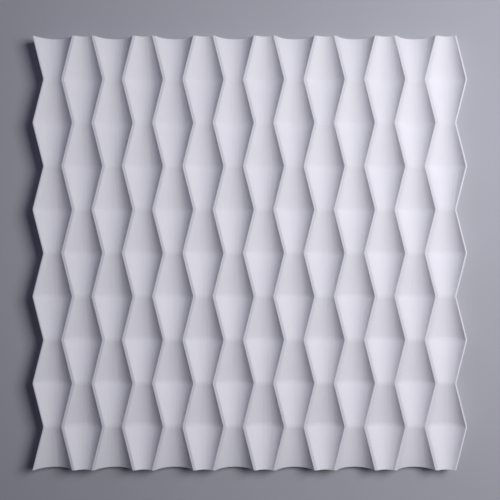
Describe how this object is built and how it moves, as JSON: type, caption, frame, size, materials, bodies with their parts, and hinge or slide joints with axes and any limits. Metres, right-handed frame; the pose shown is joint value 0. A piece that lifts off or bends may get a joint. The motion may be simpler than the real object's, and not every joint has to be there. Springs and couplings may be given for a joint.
{
  "type": "wall panel",
  "caption": "Square cast plaster wall panel with a flat back and a face of narrow zigzag ridges, whose concave valleys alternate between wide and deep and narrow and shallow.",
  "frame": {"origin": "centre of the flat back, at the bottom centre of the bounding box", "axes": "+Z out of the ridged face, square to the wall that the panel is fixed to; +Y along the ridges, up the wall; +X across the ridges"},
  "size_m": [0.5, 0.5, 0.022],
  "materials": {
    "plaster": "matte"
  },
  "bodies": {
    "root": {"panel": "plaster"}
  },
  "joints": []
}
